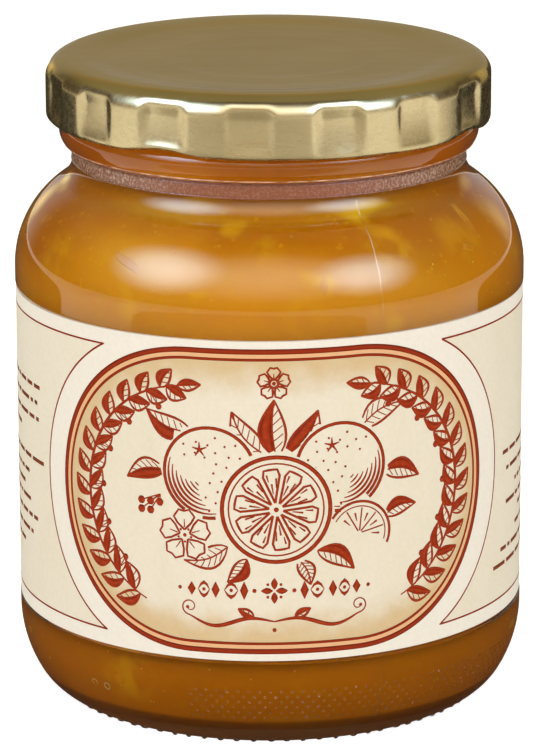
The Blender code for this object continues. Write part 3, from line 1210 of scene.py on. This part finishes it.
def makeNeckBand():
    root, radius, ridge = details["bandRoot"], details["bandRadius"], details["ridge"]
    top, bottom = details["bandTop"], details["bandBottom"]
    outline = [(root, top + 4.4 * ridge)]
    outline += arcPoints((radius - ridge, top + 3.2 * ridge), ridge, 90, -90, 6)
    outline += [(radius - 1.2 * ridge, top + ridge)]
    outline += straightPoints((radius, top), (radius, bottom), 9)
    outline += arcPoints((radius - 0.4 * ridge, bottom - 1.2 * ridge), 1.2 * ridge, 90, -90, 6)
    outline += [(root, bottom - 3 * ridge)]
    piece = turnPiece("neckBand", outline, 480, closeOutline=True)
    for vertex in piece.data.vertices:
        if bottom < vertex.co.z < top and math.hypot(vertex.co.x, vertex.co.y) > root + ridge:
            scale = 1 + random.uniform(-1, 1) * details["bandRough"] / radius
            vertex.co = (vertex.co.x * scale, vertex.co.y * scale, vertex.co.z)
    smoothShade(piece, 60)
    material, tree, shader = newMaterial("frostedGlassPaintedGlints", {"Roughness": 0.22})
    paintedGlintSpots, gritRaw = mottle(tree, 2800, 4.0, 0.42, 0.66)
    # painted glints and a painted greyer tone, stronger where the band turns to the sides and its frosting
    # catches the light
    paintedSideShare = between(abs(objectParts(tree)[0]), 8 * mm, 28 * mm, 0.15, 0.75)
    base = blend(paintedSideShare, details["bandColour"], details["paintedBandSide"])
    feed(tree, shader.inputs["Base Color"], blend(paintedGlintSpots * paintedSideShare, base, details["paintedBandGlint"]))
    bump(shader, gritRaw, 0.05 * mm, 0.8)
    standOn(piece, material)


def makeNeckLines():
    outline = outsidePoints()
    for number, (height, half, colour) in enumerate(details["neckLines"], 1):
        radius, tilt = radiusAt(outline, height * mm)
        ring = arcPoints((radius - half * 0.3 * mm, height * mm), half * mm, 0, 360, 8)[:-1]
        piece = turnPiece("neckLine%d" % number, ring, 240, closeOutline=True)
        smoothShade(piece, 60)
        material, tree, shader = newMaterial("neckLine%d" % number, {"Roughness": 0.3})
        broken, _ = mottle(tree, 700, 3.0, 0.30, 0.65)
        # each ring's painted highlight or painted shadow colour, broken by patches of the band's colour
        feed(tree, shader.inputs["Base Color"], blend(broken, details["bandColour"], colour))
        standOn(piece, material)


def makeHeelDots():
    outline = outsidePoints()
    places = []
    for row, height in enumerate(details["dotRows"]):
        for k in range(details["dotsRound"]):
            turn = 360 * (k + 0.5 * (row % 2)) / details["dotsRound"] - 60
            if not any(first < turn < last for first, last in details["dotSweeps"]):
                continue
            sizes = [size * mm * random.uniform(0.8, 1.1) for size in details["dotSize"]]
            places.append(spotOn(outline, turn, height * mm, sizes))
    scatterCopies("heelDots", smallBall(8, 4), places, clearGlass)


def makeFootBumps():
    outline = outsidePoints()
    places = []
    for k in range(details["footBumps"]):
        turn = 360 * k / details["footBumps"] + random.uniform(-0.5, 0.5)
        sizes = [size * mm * random.uniform(0.7, 1.1) for size in details["footSize"]]
        places.append(spotOn(outline, turn, details["footHeight"], sizes))
    scatterCopies("footBumps", smallBall(8, 5), places, clearGlass)


def makeSeams():
    width, runs = details["seamWidth"], []
    for turn in (details["seamTurn"], details["seamTurn"] - 180):
        for low, high in details["seamSpans"]:
            path = [point for point in outsidePoints() if low < point[1] < high]
            runs.append([(placeAt(radius - width * 0.55, height, turn), 1) for radius, height in path])
    piece = curvePiece("mouldSeams", runs, width, 1)
    bpy.ops.object.shade_smooth()
    standOn(piece, clearGlass)


makeNeckBand()
makeNeckLines()
makeHeelDots()
makeFootBumps()
makeSeams()
print("glass details are on")


# In the marmalade: specks of pulp, shreds of peel and two bubbles against the glass

pulp = {
    "specks": 220,
    "speckColour": (0.72, 0.40, 0.06),
    "shreds": 12,
    "shredColour": (0.55, 0.235, 0.004),
    "bubbles": ((-46.5, 7.9), (-42.5, 7.8)),
    "bubbleColour": (0.62, 0.36, 0.10),
}


def fruitFinish(name, colour, roughness):
    material, tree, shader = newMaterial(name, {
        "Roughness": roughness, "Specular IOR Level": 0.1, "Subsurface Weight": 0.4,
        "Subsurface Radius": (1.0, 0.5, 0.12), "Subsurface Scale": 1.5 * mm})
    cloudy, _ = mottle(tree, 500, 2.0, 0.3, 0.7)
    feed(tree, shader.inputs["Base Color"], blend(cloudy, colour, fill["golden"]))
    return material


def wallPlaces(count, zones, depth, sizes):
    # places spread over the fill's wall: each zone is (lowest, highest) in millimetres
    outline = insidePoints(fill["intoWall"], 16)
    places = []
    for k in range(count):
        low, high = zones[k % len(zones)]
        height = random.uniform(low, high) * mm
        size = [random.uniform(*span) * mm for span in sizes]
        turn, spin = random.uniform(-180, 180), random.uniform(0, math.pi)
        places.append(spotOn(outline, turn, height, size, depth * mm, spin))
    return places


def makePulp():
    sizes = ((0.06, 0.22), (0.06, 0.16), (0.03, 0.05))
    specks = wallPlaces(pulp["specks"], ((64, 79), (64, 77), (5, 14)), 0.0, sizes)
    finish = fruitFinish("palePulp", pulp["speckColour"], 0.4)
    scatterCopies("pulpSpecks", smallBall(6, 4), specks, finish)


def makeBubbles():
    outline = insidePoints(fill["intoWall"], 16)
    places = [spotOn(outline, turn, height * mm, (mm, mm, mm)) for turn, height in pulp["bubbles"]]
    deselectAll()
    bpy.ops.mesh.primitive_torus_add(
        major_segments=32, minor_segments=8, major_radius=0.50, minor_radius=0.10)
    finish = fruitFinish("bubbleRim", pulp["bubbleColour"], 0.2)
    scatterCopies("bubbles", bpy.context.object, places, finish)


def makeShreds():
    # a strip of peel, bent to lie along the wall
    deselectAll()
    bpy.ops.mesh.primitive_cube_add(size=2, location=(0, 0, 0))
    strip = bpy.context.object
    editAll()
    bpy.ops.mesh.subdivide(number_cuts=7)
    leaveEdit()
    for vertex in strip.data.vertices:
        x, y, z = vertex.co
        taper = 1 - 0.35 * x * x
        vertex.co = (x, y * taper * (1 - 0.25 * z * z) + 0.5 * math.sin(1.8 * x), z * taper - 0.45 * x * x)
    sizes = ((1.6, 3.6), (0.5, 0.9), (0.36, 0.44))
    places = wallPlaces(pulp["shreds"], ((66, 77), (68, 78), (7, 12)), 0.36, sizes)
    finish = fruitFinish("peel", pulp["shredColour"], 0.4)
    scatterCopies("peelShreds", strip, places, finish)


makePulp()
makeBubbles()
makeShreds()
print("pulp, peel and bubbles are in")
